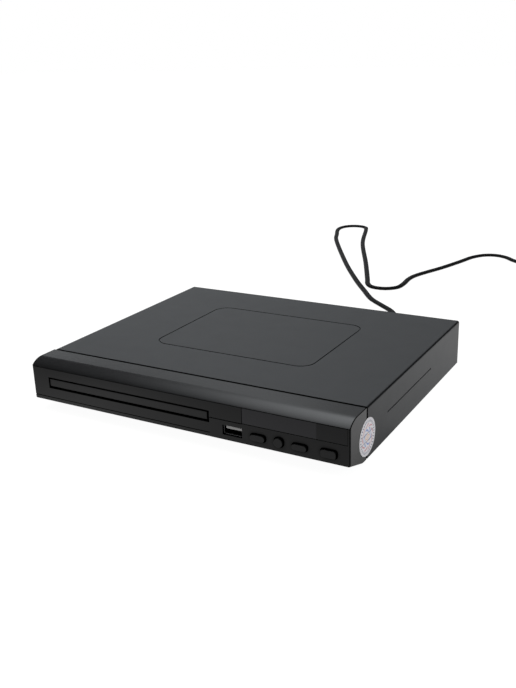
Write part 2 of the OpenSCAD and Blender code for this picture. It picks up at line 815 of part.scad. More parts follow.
module loader_frame() color([0.2, 0.2, 0.21]) placed() translate([tray_x, 0, 0]) difference() {
    cup_d = load_motor_d + 0.3 + 2 * 1.2;
    cup_top = motor_top + 1.2;
    union() {
        block([-loader_half, loader_half], [loader_y, loader_end], [base_z, base_z + base_t]);
        for (s = [-1, 1]) {
            // Side wall
            translate([s * (wall_x + wall_t / 2) - wall_t / 2, loader_y, base_z])
                cube([wall_t, loader_len, wall_h]);
            // Rail under the tray
            translate([s * (wall_x - 1.4) - 1.6, loader_y, rail_top - 1.5])
                cube([3.2, loader_len, 1.5]);
            // Hooks over the tray
            for (y = [loader_y + 2, loader_y + 26, loader_y + 90])
                translate([s * (wall_x - 0.8) - 1, y, tray_top + 0.3]) cube([2, 10, 1.4]);
            // Hinge ear of the traverse
            translate([s * (hole_half + 1.6) - 1.4, hinge_y - 4, base_z]) cube([2.8, 8, hinge_z + 3.4 - base_z]);
        }
        block([-loader_half, loader_half], [loader_end - wall_t, loader_end], [base_z, rail_top - 2]);
        for (s = [-1, 1], y = pillar_y) post(s * pillar_x, y, [pan_top, base_z + 0.5], pillar_d);
        // Motor cup
        post(motor_x, motor_y, [base_z, cup_top], cup_d);
        // Gear pins
        post(tray_gear_x, tray_gear_y, [base_z, pinion_top - 1.2], pin_d);
        post(tray_gear_x, tray_gear_y, [base_z, gear_z - 0.1], pin_d + 3);
        post(pulley_x, tray_gear_y, [base_z, belt_z + pulley_t / 2 - 0.6], pin_d);
        post(pulley_x, tray_gear_y, [base_z, gear_z - 0.1], pin_d + 3);
        // Guides of the cam slider
        for (x = [-12, 4], y = [cam_y - cam_t / 2 - 1.1, cam_y + cam_t / 2 + 0.2])
            block([x, x + 7], [y, y + 0.9], [base_z, base_z + base_t + 1.6]);
    }
    // Opening under the traverse
    block([-hole_half, hole_half], [cam_y + 2.6, hinge_y + 5], [base_z - 1, base_z + base_t + 1]);
    block([hole_half - 1, sled_pinion_x + 9.5], [sled_y - 14, sled_y + 14], [base_z - 1, base_z + base_t + 0.5]);
    for (s = [-1, 1])
        translate([s * (hole_half + 1.6), hinge_y, hinge_z]) rotate([0, 90, 0])
            cylinder(d = hinge_pin + 2 * play, h = 4, center = true);
    // Motor seat and shaft hole
    post(motor_x, motor_y, [pan_top, motor_top + 0.05], load_motor_d + 0.3);
    post(motor_x, motor_y, [pan_top, cup_top + 1], 4);
    for (s = [-1, 1], y = pillar_y) post(s * pillar_x, y, [pan_top - 1, base_z - 0.5], 2);
    // Screw holes of the bridge
    for (s = [-1, 1], y = [-9, 9])
        post(s * (wall_x + wall_t / 2), disc_y + y, [wall_top - 5, wall_top + 1], 1.2);
}

module clamp_bridge() color([0.6, 0.61, 0.63]) placed() translate([tray_x, disc_y, 0]) difference() {
    translate([0, 0, wall_top]) linear_extrude(bridge_t) union() {
        square([2 * loader_half, bridge_w], center = true);
        circle(d = bridge_w + 8);
    }
    post(0, 0, [wall_top - 1, wall_top + 2], clamper_neck + 3);
    for (s = [-1, 1], y = [-9, 9])
        post(s * (wall_x + wall_t / 2), y, [wall_top - 1, wall_top + 2], 1.6);
}

module clamper() color([0.75, 0.75, 0.76]) placed() translate([tray_x, disc_y, 0]) {
    post(0, 0, [tray_top + 0.6, wall_top - 0.4], clamper_d);
    post(0, 0, [wall_top - 1, wall_top + bridge_t + 0.6], clamper_neck);
    post(0, 0, [wall_top + bridge_t + 0.3, wall_top + bridge_t + 2], clamper_d);
}

module loading_motor() color([0.7, 0.7, 0.72]) placed() translate([tray_x + motor_x, motor_y, 0]) {
    post(0, 0, [motor_top - load_motor_h, motor_top], load_motor_d);
    post(0, 0, [motor_top - 1, belt_z + pulley_t / 2 - 0.3], 2);
}

// Belt pulley with a groove for the square belt
module pulley(r, bore) {
    difference() {
        cylinder(r = r + belt_d * 0.6, h = pulley_t, center = true);
        rotate_extrude() translate([r, -belt_d / 2 - 0.1]) square([2 * belt_d, belt_d + 0.2]);
        cylinder(d = bore, h = pulley_t + 1, center = true);
    }
}

module motor_pulley() color([0.85, 0.8, 0.5]) placed()
    translate([tray_x + motor_x, motor_y, belt_z]) pulley(motor_pulley_r, 2 + 2 * play);

belt_span = norm([pulley_x - motor_x, tray_gear_y - motor_y]);
belt_turn = atan2(tray_gear_y - motor_y, pulley_x - motor_x);
belt_lean = asin((pulley_r - motor_pulley_r) / belt_span);

// Half turn of belt round a pulley, centred on the x axis
module belt_bend(r, arc) {
    rotate(-arc / 2) rotate_extrude(angle = arc) translate([r + play, -belt_d / 2]) square(belt_d);
}

module drive_belt() color([0.08, 0.08, 0.08]) placed()
    translate([tray_x + motor_x, motor_y, belt_z]) rotate(belt_turn) {
        run = belt_span * cos(belt_lean);
        mid = motor_pulley_r + play + belt_d / 2;
        rotate(180) belt_bend(motor_pulley_r, 180 - 2 * belt_lean);
        translate([belt_span, 0, 0]) belt_bend(pulley_r, 180 + 2 * belt_lean);
        // Straight runs, which reach a little into the bends
        for (s = [0, 1])
            mirror([0, s, 0]) rotate(belt_lean) translate([run / 2, mid, 0])
                cube([run + 0.6, belt_d, belt_d], center = true);
    }

module pulley_gear() color([0.9, 0.9, 0.87]) placed() translate([tray_x + pulley_x, tray_gear_y, 0]) {
    bore = pin_d + 2 * play;
    translate([0, 0, belt_z]) pulley(pulley_r, bore);
    difference() {
        union() {
            translate([0, 0, gear_z]) gear(load_m, pulley_n, load_gear_t + 0.6, 180 / pulley_n);
            post(0, 0, [gear_z + load_gear_t, belt_z - pulley_t / 2 + 0.1], 2 * pulley_gear_r - 2);
        }
        post(0, 0, [gear_z - 1, belt_z], bore);
    }
}

module tray_gear() color([0.92, 0.92, 0.9]) placed() translate([tray_x + tray_gear_x, tray_gear_y, 0])
    difference() {
        union() {
            translate([0, 0, gear_z]) gear(load_m, tray_gear_n, load_gear_t, 180);
            post(0, 0, [gear_z, tray_low - 0.9], 2 * pinion_r - 3);
            translate([0, 0, tray_low - 1]) gear(rack_m, pinion_n, pinion_top - tray_low + 1);
        }
        post(0, 0, [gear_z - 1, pinion_top + 1], pin_d + 2 * play);
    }

// Upright plate whose sloped slots lift the front of the traverse
module cam_slider() color([0.85, 0.85, 0.83]) placed() translate([tray_x, 0, 0]) {
    low = base_z + base_t + 0.1;
    slot_r = cam_pin / 2 + cam_play;
    slot_len = norm([cam_travel, cam_drop]);
    back_from(cam_y - cam_t / 2, cam_t) difference() {
        translate([-29, low]) square([56, 15 - low]);
        for (x = [-15, 15])
            translate([x, cam_z]) rotate(180 + atan2(cam_drop, cam_travel))
                translate([slot_len / 2, 0]) pill(slot_len + 2 * slot_r, 2 * slot_r);
    }
}

// Traverse

module traverse_deck() color([0.45, 0.46, 0.48]) placed() translate([tray_x, 0, 0]) difference() {
    deck_top = deck_z + deck_t;
    wing_x = sled_pinion_x + 8.5;
    union() {
        block([-deck_half, deck_half], [cam_y + 4.5, hinge_y + 2.4], [deck_z, deck_top]);
        // Front wall with the cam pins
        block([-22, 22], [cam_y + 3.5, cam_y + 5.1], [deck_z, cam_z + 1.8]);
        for (x = [-15, 15]) along(x, cam_z, [cam_y - cam_t / 2 - 0.5, cam_y + 4], cam_pin);
        // Hinge pins
        for (s = [-1, 1])
            translate([s * (deck_half + 1.9), hinge_y, hinge_z]) rotate([0, 90, 0])
                cylinder(d = hinge_pin, h = 4.2, center = true);
        // Rod bosses
        for (s = [-1, 1], y = [rod_y[0], rod_y[1] - 4])
            block([s * rod_x - 2.7, s * rod_x + 2.7], [y, y + 4], [deck_z, rod_z + 2.1]);
        // Wing that carries the sled gears
        block([deck_half - 1, sled_gear_x + 4.2], [sled_y - 12, sled_y + 12], [deck_z, deck_top]);
        difference() {
            block([sled_gear_x + 3.6, wing_x], [sled_y - 12, sled_y + 12], [deck_z, wing_z + deck_t]);
            block([sled_gear_x + 4.8, wing_x + 1], [sled_y - 13, sled_y + 13], [deck_z - 1, wing_z]);
            block([sled_gear_x + 3, wing_x + 1], [sled_y - 5.5, sled_y + 5.5], [deck_z - 1, wing_z]);
            post(sled_gear_x, sled_y, [deck_top, wing_z + 5], 2 * sled_r + 2.2);
        }
        post(sled_gear_x, sled_y, [deck_z, sled_gear_z + sled_gear_t - 0.3], 2);
        post(sled_gear_x, sled_y, [deck_z, rod_z - 0.1], 3.6);
    }
    // Pickup opening
    block([-19, 19], [rod_y[0] + 3.6, rod_y[1] - 3], [deck_z - 1, deck_top + 1]);
    for (s = [-1, 1]) along(s * rod_x, rod_z, [rod_y[0] - 1, rod_y[1] + 1], rod_d + 2 * play);
    // Shaft hole of the sled motor
    post(sled_pinion_x, sled_y, [wing_z - 1, wing_z + deck_t + 1], 4);
}

module spindle_motor() color([0.66, 0.66, 0.68]) placed() translate([tray_x, disc_y, 0]) {
    deck_top = deck_z + deck_t;
    post(0, 0, [deck_top, deck_top + 6.8], spindle_d);
    post(0, 0, [deck_top + 6, disc_z + 1.2], 2);
}

module turntable() color([0.25, 0.25, 0.26]) placed() translate([tray_x, disc_y, 0]) difference() {
    union() {
        post(0, 0, [deck_z + deck_t + 7.1, disc_z - 1.4], 8);
        post(0, 0, [disc_z - 1.5, disc_z], turntable_d);
        translate([0, 0, disc_z]) cylinder(d1 = cone_d, d2 = cone_d - 2.4, h = 1.8);
    }
    post(0, 0, [deck_z, disc_z + 3], 2 + 2 * play);
    // Ring recess in the disc's seat
    rotate_extrude() translate([cone_d / 2 + 0.6, disc_z - 0.4]) square([1, 1]);
}

module guide_rods() color([0.8, 0.8, 0.82]) placed()
    for (s = [-1, 1]) along(tray_x + s * rod_x, rod_z, rod_y, rod_d);

module pickup_body() color([0.4, 0.41, 0.43]) placed() translate([tray_x, 0, 0]) {
    difference() {
        union() {
            block([-body_half, body_half], pickup_y, [7, 15.4]);
            block([-rod_x - 3.2, -body_half + 1], pickup_y, [rod_z - 1.7, rod_z + 2.4]);
            block([body_half - 1, sled_rack_x - 1], pickup_y, [rod_z - 1.7, rod_z + 2.4]);
            post(0, lens_y, [15, 17.2], 10);
        }
        along(-rod_x, rod_z, [pickup_y[0] - 1, pickup_y[1] + 1], rod_d + 2 * play);
        along(rod_x, rod_z, [pickup_y[0] - 1, pickup_y[1] + 1], rod_d + 2 * play);
        block(
            [rod_x - rod_d / 2 - play, rod_x + rod_d / 2 + play],
            [pickup_y[0] - 1, pickup_y[1] + 1],
            [rod_z - 4, rod_z]
        );
        post(0, lens_y, [15.6, 18], 5 + 2 * play);
    }
    translate([sled_rack_x, sled_y, rod_z + 0.3]) mirror([1, 0, 0])
        rack(sled_m, -ceil((sled_travel + 3) / (PI * sled_m)), 2, 2, 2.1);
}

module pickup_lens() color([0.6, 0.7, 0.9]) placed() translate([tray_x, lens_y, 0])
    rotate_extrude() intersection() {
        translate([0, 9.6]) circle(r = 8, $fn = 96);
        translate([0, 15.65]) square([2.5, 3]);
    }

module sled_motor() color([0.7, 0.7, 0.72]) placed() translate([tray_x + sled_pinion_x, sled_y, 0]) {
    post(0, 0, [wing_z - 8, wing_z], sled_motor_d);
    post(0, 0, [wing_z - 1, sled_gear_z + 1.6], 1.5);
}

module sled_pinion() color([0.85, 0.8, 0.5]) placed()
    translate([tray_x + sled_pinion_x, sled_y, sled_gear_z]) difference() {
        gear(motor_m, sled_pinion_n, sled_gear_t + 0.4, 180 + 180 / sled_pinion_n);
        cylinder(d = 1.5 + 2 * play, h = 8, center = true);
    }

module sled_gear() color([0.92, 0.92, 0.9]) placed() translate([tray_x + sled_gear_x, sled_y, 0])
    difference() {
        union() {
            translate([0, 0, rod_z]) gear(sled_m, sled_n, sled_gear_z - rod_z + 0.2, 180);
            translate([0, 0, sled_gear_z]) gear(motor_m, sled_gear_n, sled_gear_t);
        }
        post(0, 0, [rod_z - 1, sled_gear_z + 3], 2 + 2 * play);
    }

// Boards

module main_board() color([0.1, 0.32, 0.17]) placed() difference() {
    block(main_x, main_y, [board_z, board_top]);
    for (p = main_standoffs) post(p[0], p[1], [board_z - 1, board_top + 1], 3);
}

module main_chips() color([0.08, 0.08, 0.09]) placed() {
    x = main_x[0];
    y = main_y[0];
    block([x + 20, x + 38], [y + 33, y + 51], [board_top, board_top + 1.6]);
    block([x + 8, x + 16], [y + 20, y + 34], [board_top, board_top + 1.2]);
    block([x + 42, x + 50], [y + 18, y + 26], [board_top, board_top + 1.4]);
    block([x + 12, x + 20], [y + 58, y + 66], [board_top, board_top + 1.4]);
}

module power_board() color([0.35, 0.28, 0.14]) placed() difference() {
    block(power_x, power_y, [board_z, board_top]);
    for (p = power_standoffs) post(p[0], p[1], [board_z - 1, board_top + 1], 3);
}

module power_transformer() color([0.8, 0.75, 0.3]) placed() {
    x = (power_x[0] + power_x[1]) / 2;
    y = power_y[1] - 46;
    block([x - 9, x + 9], [y - 10, y + 10], [board_top, board_top + 3]);
    block([x - 6, x + 6], [y - 12, y + 12], [board_top + 3, board_top + 15]);
    block([x - 9, x + 9], [y - 10, y + 10], [board_top + 15, board_top + 18]);
}

module filter_capacitors() color([0.1, 0.12, 0.25]) placed() {
    x = (power_x[0] + power_x[1]) / 2;
    post(x + 3, power_y[1] - 21, [board_top, board_top + 20], 14);
    for (y = [14, 26]) post(x - 4, power_y[0] + y, [board_top, board_top + 14], 8);
}

module hdmi_outline(grow) {
    w = hdmi_w / 2 + grow;
    h = hdmi_h / 2 + grow;
    polygon([[-w + 2, -h], [w - 2, -h], [w, -h + 2], [w, h], [-w, h], [-w, -h + 2]]);
}

module hdmi_shell() color([0.8, 0.8, 0.82]) placed() translate([hdmi_x, 0, hdmi_z]) difference() {
    back_from(rear_y - 11, 11.6) hdmi_outline(0);
    back_from(rear_y - 10, 12) hdmi_outline(-0.4);
}

module hdmi_tongue() color([0.06, 0.06, 0.06]) placed()
    back_from(rear_y - 10, 9.6) translate([hdmi_x, hdmi_z + 0.3]) square([11.2, 1.8], center = true);

module jack_block() color([0.1, 0.1, 0.1]) placed() {
    half = jack_pitch * 1.5;
    difference() {
        block([jack_x - half, jack_x + half], [rear_y - sheet_t - 14, rear_y - sheet_t - 0.1], [board_top, jack_z + 7]);
        for (i = [-1 : 1])
            along(jack_x + i * jack_pitch, jack_z, [rear_y - sheet_t - 3, rear_y], jack_d - 0.2);
    }
}

module jack_core(i) placed() translate([jack_x + i * jack_pitch, 0, 0]) difference() {
    union() {
        along(0, jack_z, [rear_y - sheet_t - 3, rear_y + 0.2], jack_d - 0.4);
        along(0, jack_z, [rear_y + 0.05, jack_base], 12);
        along(0, jack_z, [jack_base - 0.2, rear_y + jack_len - 0.6], jack_d - 1.4);
    }
    along(0, jack_z, [rear_y - 1, rear_y + jack_len], 3.3);
}

module video_jack_core() color([0.9, 0.8, 0.1]) jack_core(-1);

module left_audio_core() color([0.92, 0.92, 0.92]) jack_core(0);

module right_audio_core() color([0.8, 0.1, 0.1]) jack_core(1);

module jack_sleeves() color([0.85, 0.85, 0.86]) placed()
    for (i = [-1 : 1]) translate([jack_x + i * jack_pitch, 0, 0]) difference() {
        along(0, jack_z, [jack_base, rear_y + jack_len], jack_d);
        along(0, jack_z, [jack_base - 1, rear_y + jack_len + 1], jack_d - 1.2);
    }

// Flat ribbon from the front board to the main board
module front_ribbon() color([0.85, 0.85, 0.85]) placed() {
    high = front_board_z + board_t;
    plug = main_y[0] + 1;
    translate([side_x - 28, 0, 0]) across(14) polygon([
        [15, high], [15, high + 3], [20.5, high + 3], [20.5, high + 0.7], [28, high + 0.7],
        [34, 5], [plug - 9, 5], [plug - 3, board_top + 0.9], [plug, board_top + 0.9], [plug, board_top + 3],
        [plug + 6, board_top + 3], [plug + 6, board_top], [plug, board_top], [plug, board_top + 0.4],
        [plug - 2.6, board_top + 0.4], [plug - 8.7, 4.5], [33.7, 4.5], [27.7, high + 0.2],
        [20.5, high + 0.2], [20.5, high]
    ]);
}

// Fasteners

module pan_screw(x, y, seat, len, d, head) {
    post(x, y, [seat - len, seat + 0.1], d);
    translate([x, y, seat]) cylinder(d1 = head, d2 = head * 0.7, h = 1.2);
}

module cover_screws() color([0.15, 0.15, 0.15]) placed()
    for (x = [-80, 0, 90]) {
        along(x, body_h - 3.4, [rear_y - 4, body_d + 0.1], 2.2);
        along(x, body_h - 3.4, [body_d, body_d + 1.4], 5);
    }

module board_screws() color([0.7, 0.7, 0.7]) placed() {
    for (p = standoffs) pan_screw(p[0], p[1], board_top, 4.6, 2, 4.4);
    for (x = [front_board_x[0] + 9, side_x - 14])
        pan_screw(x, 17, front_board_z + board_t, 3.6, 1.5, 3.4);
}

module loader_screws() color([0.7, 0.7, 0.7]) placed() {
    for (p = loader_places) mirror([0, 0, 1]) pan_screw(p[0], p[1], 0, 3.4, 1.8, 5);
    for (s = [-1, 1], y = [-9, 9])
        pan_screw(tray_x + s * (wall_x + wall_t / 2), disc_y + y, wall_top + bridge_t, 4, 1, 2.6);
}

// Mains lead

module strain_relief() color([0.07, 0.07, 0.07]) placed() translate([cord_x, 0, relief_z]) {
    along(0, 0, [rear_y - sheet_t - 2, rear_y + 0.2], relief_d - 1.4);
    along(0, 0, [rear_y - sheet_t - 2.5, rear_y - sheet_t - 0.1], relief_d + 2);
    along(0, 0, [rear_y + 0.05, rear_y + 2.2], relief_d + 2);
    difference() {
        translate([0, rear_y + 2, 0]) rotate([-90, 0, 0])
            cylinder(d1 = relief_d, d2 = cord_w + 2, h = relief_len - 2);
        // Flexing grooves
        for (y = [rear_y + 6 : 4 : relief_end - 4])
            translate([0, y, 0]) rotate([-90, 0, 0]) difference() {
                cylinder(d = relief_d + 2, h = 1.4);
                translate([0, 0, -1]) cylinder(d = cord_w + 0.8, h = 4);
            }
    }
}

// Smooth curve through the route's points
function smooth(a, b, c, d, t) = 0.5 * (
    2 * b + (c - a) * t + (2 * a - 5 * b + 4 * c - d) * t * t + (3 * b - a - 3 * c + d) * t * t * t
);

function point_of(i) = lead_route[max(0, min(len(lead_route) - 1, i))];

ring_gap = 17;

lead_steps = [for (i = [0 : len(lead_route) - 2])
    max(1, round(norm(lead_route[i + 1] - lead_route[i]) / ring_gap))];

lead_path = concat(
    [for (i = [0 : len(lead_route) - 2]) for (k = [0 : lead_steps[i] - 1])
        smooth(point_of(i - 1), point_of(i), point_of(i + 1), point_of(i + 2), k / lead_steps[i])],
    [lead_route[len(lead_route) - 1]]
);

lead_sides = 8;

// One ring of the flat lead, level with the floor and square to the path
function lead_ring(i) = let (
    last = len(lead_path) - 1,
    ahead = lead_path[min(last, i + 1)] - lead_path[max(0, i - 1)],
    way = ahead / norm(ahead),
    across_way = cross([0, 0, 1], way) / norm(cross([0, 0, 1], way)),
    up = cross(way, across_way)
) [for (k = [0 : lead_sides - 1]) let (a = 360 * (k + 0.5) / lead_sides)
    lead_path[i] + across_way * cord_w / 2 * cos(a) / cos(180 / lead_sides)
        + up * cord_h / 2 * sin(a) / cos(180 / lead_sides)];

module power_cord() color([0.07, 0.07, 0.07]) placed() {
    rings = len(lead_path);
    n = lead_sides;
    polyhedron(
        points = [for (i = [0 : rings - 1]) each lead_ring(i)],
        faces = concat(
            [[for (k = [0 : n - 1]) k]],
            [for (i = [0 : rings - 2]) for (k = [0 : n - 1])
                [i * n + k, (i + 1) * n + k, (i + 1) * n + (k + 1) % n, i * n + (k + 1) % n]],
            [[for (k = [n - 1 : -1 : 0]) (rings - 1) * n + k]]
        ),
        convexity = 10
    );
}

module cord_coil() color([0.07, 0.07, 0.07]) placed()
    translate([coil_x, coil_y, -foot_h]) rotate_extrude($fn = 96)
        translate([coil_r - cord_w / 2, 0]) square([cord_w, coil_layers * (cord_h + 0.2)]);

// Places a piece along the lead where it leaves the coil
module at_coil_end() {
    translate([coil_x + coil_r * cos(coil_out), coil_y + coil_r * sin(coil_out), -foot_h])
        rotate(coil_out - 90) children();
}

module power_plug() color([0.07, 0.07, 0.07]) placed() at_coil_end() {
    translate([3, 0, plug_h / 2]) rotate([0, 90, 0])
        cylinder(d1 = cord_w + 1.6, d2 = 10.5, h = plug_tail - 3 + 1);
    translate([plug_tail, 0, 0]) linear_extrude(plug_h)
        translate([plug_len / 2, 0]) rounded_rect(plug_len, plug_w, 5);
}

module plug_pins() color([0.8, 0.8, 0.82]) placed() at_coil_end()
    for (s = [-1, 1])
        translate([plug_tail + plug_len, s * 9.3, plug_h / 2]) rotate([0, 90, 0]) {
            cylinder(d = 4, h = 17.5);
            translate([0, 0, 17.5]) cylinder(d1 = 4, d2 = 2.4, h = 1.5);
        }

top_cover();
front_panel();
display_window();
tray_door();
disc_tray();
chassis_pan();
rear_panel();
feet();
seal_sticker();
eject_button();
play_button();
stop_button();
power_button();
front_board();
tact_switches();
display_block();
usb_shell();
usb_tongue();
loader_frame();
clamp_bridge();
clamper();
loading_motor();
motor_pulley();
drive_belt();
pulley_gear();
tray_gear();
cam_slider();
traverse_deck();
spindle_motor();
turntable();
guide_rods();
pickup_body();
pickup_lens();
sled_motor();
sled_pinion();
sled_gear();
main_board();
main_chips();
power_board();
power_transformer();
filter_capacitors();
hdmi_shell();
hdmi_tongue();
jack_block();
jack_sleeves();
video_jack_core();
left_audio_core();
right_audio_core();
front_ribbon();
cover_screws();
board_screws();
loader_screws();
strain_relief();
power_cord();
cord_coil();
power_plug();
plug_pins();
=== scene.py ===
"""Looks of a compact disc player: camera, mains lead, materials and studio.

Everything is in metres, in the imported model's own frame: +X to the right seen from the
front, +Y to the rear and +Z up, with the feet on z = 0.
"""

import json
import math

import bpy
from mathutils import Matrix, Vector


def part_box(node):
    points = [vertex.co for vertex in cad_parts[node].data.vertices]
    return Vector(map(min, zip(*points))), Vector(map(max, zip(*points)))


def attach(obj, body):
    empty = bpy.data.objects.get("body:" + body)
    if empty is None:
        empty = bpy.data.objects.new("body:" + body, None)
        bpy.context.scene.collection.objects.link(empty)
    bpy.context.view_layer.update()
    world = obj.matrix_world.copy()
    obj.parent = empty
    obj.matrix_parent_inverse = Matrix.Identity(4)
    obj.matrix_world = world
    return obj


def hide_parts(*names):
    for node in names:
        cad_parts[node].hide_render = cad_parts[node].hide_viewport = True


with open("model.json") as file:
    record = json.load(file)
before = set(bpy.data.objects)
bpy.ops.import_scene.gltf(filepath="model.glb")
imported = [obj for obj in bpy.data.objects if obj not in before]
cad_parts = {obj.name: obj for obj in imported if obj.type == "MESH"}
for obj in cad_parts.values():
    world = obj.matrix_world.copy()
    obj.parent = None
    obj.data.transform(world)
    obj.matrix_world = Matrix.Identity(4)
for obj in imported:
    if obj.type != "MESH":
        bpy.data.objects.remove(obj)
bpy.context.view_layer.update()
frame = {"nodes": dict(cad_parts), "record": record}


# ---------------------------------------------------------------------------
# Places worked out from the frame
# ---------------------------------------------------------------------------

MM = 0.001


def corner(node, side):
    """Lowest (0) or highest (1) corner of a CAD node."""
    return Vector(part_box(node)[side])


panel_low = corner("front_panel", 0)
panel_high = corner("front_panel", 1)
cover_low = corner("top_cover", 0)
cover_high = corner("top_cover", 1)

# The seam between the panel and the cover runs round the cabinet
SEAM = 1.2 * MM
panel_back = cover_low.y - SEAM

# The cabinet's own frame: x = 0 in the middle, y = 0 at the front face, z = 0 at its lower edge
cabinet = Vector((0, panel_low.y, panel_low.z))


def from_cabinet(x, y, z):
    """A point given in the cabinet's frame, in millimetres."""
    return cabinet + Vector((x, y, z)) * MM


# ---------------------------------------------------------------------------
# Camera
# ---------------------------------------------------------------------------

CAMERA_AZIMUTH = math.radians(30.13)
CAMERA_ELEVATION = math.radians(19.54)
CAMERA_ROLL = math.radians(-1.89)
CAMERA_PLACE = Vector((0.2961, cabinet.y - 0.4039, 0.2412))
CAMERA_LENS = 44.93
SENSOR_HEIGHT = 36


def make_camera():
    a, e, r = CAMERA_AZIMUTH, CAMERA_ELEVATION, CAMERA_ROLL
    back = Vector((math.sin(a) * math.cos(e), -math.cos(a) * math.cos(e), math.sin(e)))
    right = Vector((math.cos(a), math.sin(a), 0))
    up = back.cross(right)
    right, up = math.cos(r) * right + math.sin(r) * up, math.cos(r) * up - math.sin(r) * right
    data = bpy.data.cameras.new("camera")
    data.sensor_fit = "VERTICAL"
    data.sensor_height = SENSOR_HEIGHT
    data.lens = CAMERA_LENS
    data.clip_start = 0.01
    camera = bpy.data.objects.new("camera", data)
    bpy.context.scene.collection.objects.link(camera)
    turn = Matrix((right, up, back)).transposed().to_4x4()
    camera.matrix_world = Matrix.Translation(CAMERA_PLACE) @ turn
    bpy.context.scene.camera = camera


make_camera()


# ---------------------------------------------------------------------------
# Mesh helpers
# ---------------------------------------------------------------------------

def new_object(name, verts, faces):
    """A smooth-shaded mesh object."""
    mesh = bpy.data.meshes.new(name)
    mesh.from_pydata([tuple(v) for v in verts], [], faces)
    mesh.validate()
    mesh.update()
    for polygon in mesh.polygons:
        polygon.use_smooth = True
    thing = bpy.data.objects.new(name, mesh)
    bpy.context.scene.collection.objects.link(thing)
    return thing


def sweep(name, path, profile):
    """A closed tube along a path, with a profile of (sideways, up) points."""
    verts, faces = [], []
    last = len(path) - 1
    for i, point in enumerate(path):
        way = (path[min(last, i + 1)] - path[max(0, i - 1)]).normalized()
        sideways = Vector((0, 0, 1)).cross(way).normalized()
        up = way.cross(sideways)
        verts += [point + sideways * s + up * u for s, u in profile]
    n = len(profile)
    for i in range(last):
        for k in range(n):
            a, b = i * n + k, i * n + (k + 1) % n
            faces.append((a, b, b + n, a + n))
    faces.append(tuple(range(n - 1, -1, -1)))
    faces.append(tuple(last * n + k for k in range(n)))
    return new_object(name, verts, faces)


# ---------------------------------------------------------------------------
# Mains lead, in millimetres and degrees
# ---------------------------------------------------------------------------

LEAD_WIDTH = 5.2
LEAD_THICKNESS = 3.2
RELIEF_END = 227
HIGH = 13.5
LOW = LEAD_THICKNESS / 2 - cabinet.z / MM
# The lead's route in the cabinet's frame, as in the part's source
LEAD_ROUTE = [
    (45, RELIEF_END, HIGH), (45, 233, HIGH), (45, 244, 10.5), (44, 256, 4), (42, 269, -0.7),
    (38.5, 283.5, LOW), (32.5, 298, LOW), (23.5, 311, LOW), (8.5, 324.5, LOW),
    (-7.5, 339.5, LOW), (-24.5, 363, LOW), (-49.5, 399, LOW), (-88, 460, LOW), (-142, 554, LOW),
    (-158, 590, LOW), (-167, 612, LOW), (-169.5, 628, LOW), (-164, 640.5, LOW),
    (-152, 645.5, LOW), (-140, 640.5, LOW), (-132.5, 625, LOW), (-107, 554, LOW),
    (-66, 466, LOW), (-39, 406, LOW), (-30.5, 387, LOW), (-21.2, 377.8, LOW), (-7.9, 377.8, LOW),
    (1.5, 386.9, LOW), (2.5, 402, LOW), (1, 422, LOW), (4, 441, LOW), (18, 479, LOW),
    (28, 512.5, LOW), (34, 535, LOW), (43.5, 549.5, LOW), (56, 554, LOW), (69, 548.5, LOW),
    (83, 535, LOW), (116.5, 514, LOW), (155.7, 505.4, LOW),
]
ROUTE_STEP = 5

# The spare length lies in a coil, whose end leaves it at the angle COIL_OUT
COIL_CENTRE = (143.5, 477)
COIL_RADIUS = 28.6
COIL_TURNS = 2
COIL_OUT = -20
COIL_STEP = 7.5
COIL_ENTRY = 60
CLIMB_START = 290
LAYER = 3.4
PLUG_TAIL = 28
PLUG_MIDDLE = 13.5 / 2
TAIL_STEPS = 6

PROFILE_POINTS = 20
LOBE_ROUNDNESS = 0.72
WAIST_DEPTH = 0.1
WAIST_WIDTH = 0.22


def smooth_point(a, b, c, d, t):
    """The point at share t between b and c on a curve through a, b, c and d."""
    return 0.5 * (
        2 * b + (c - a) * t + (2 * a - 5 * b + 4 * c - d) * t * t + (3 * b - a - 3 * c + d) * t ** 3
    )


def ease(t):
    """Goes smoothly from 0 to 1, and stays at its ends."""
    t = min(1, max(0, t))
    return t * t * (3 - 2 * t)


def route_points():
    """Points close together on a smooth curve through the route."""
    route = [Vector(p) for p in LEAD_ROUTE]
    last = len(route) - 1
    points = []
    for i in range(last):
        near = [route[max(0, min(last, i + k))] for k in (-1, 0, 1, 2)]
        steps = max(1, round((near[2] - near[1]).length / ROUTE_STEP))
        points += [smooth_point(*near, k / steps) for k in range(steps)]
    return points + [route[-1]]


def coil_points(entry):
    """Clockwise turns that lie on each other, each stepping up before it meets the one below."""
    centre = Vector((*COIL_CENTRE, 0))
    arm = entry - centre
    start, reach = math.degrees(math.atan2(arm.y, arm.x)), math.hypot(arm.x, arm.y)
    whole = start - COIL_OUT + 360 * COIL_TURNS
    steps = round(whole / COIL_STEP)
    points = []
    for k in range(1, steps + 1):
        turned = whole * k / steps
        angle = math.radians(start - turned)
        radius = COIL_RADIUS + (reach - COIL_RADIUS) * (1 - ease(turned / COIL_ENTRY))
        layer = turned // 360 + ease((turned % 360 - CLIMB_START) / (360 - CLIMB_START))
        outward = Vector((math.cos(angle), math.sin(angle), 0))
        points.append(centre + outward * radius + Vector((0, 0, LOW + LAYER * layer)))
    return points


def tail_points(leave):
    """The tail leaves along the coil's tangent and comes down to the plug's height."""
    angle = math.radians(COIL_OUT)
    along = Vector((math.sin(angle), -math.cos(angle), 0)) * PLUG_TAIL
    drop = Vector((0, 0, PLUG_MIDDLE - cabinet.z / MM - leave.z))
    parts = [k / TAIL_STEPS for k in range(1, TAIL_STEPS + 1)]
    return [leave + along * part + drop * ease(part) for part in parts]


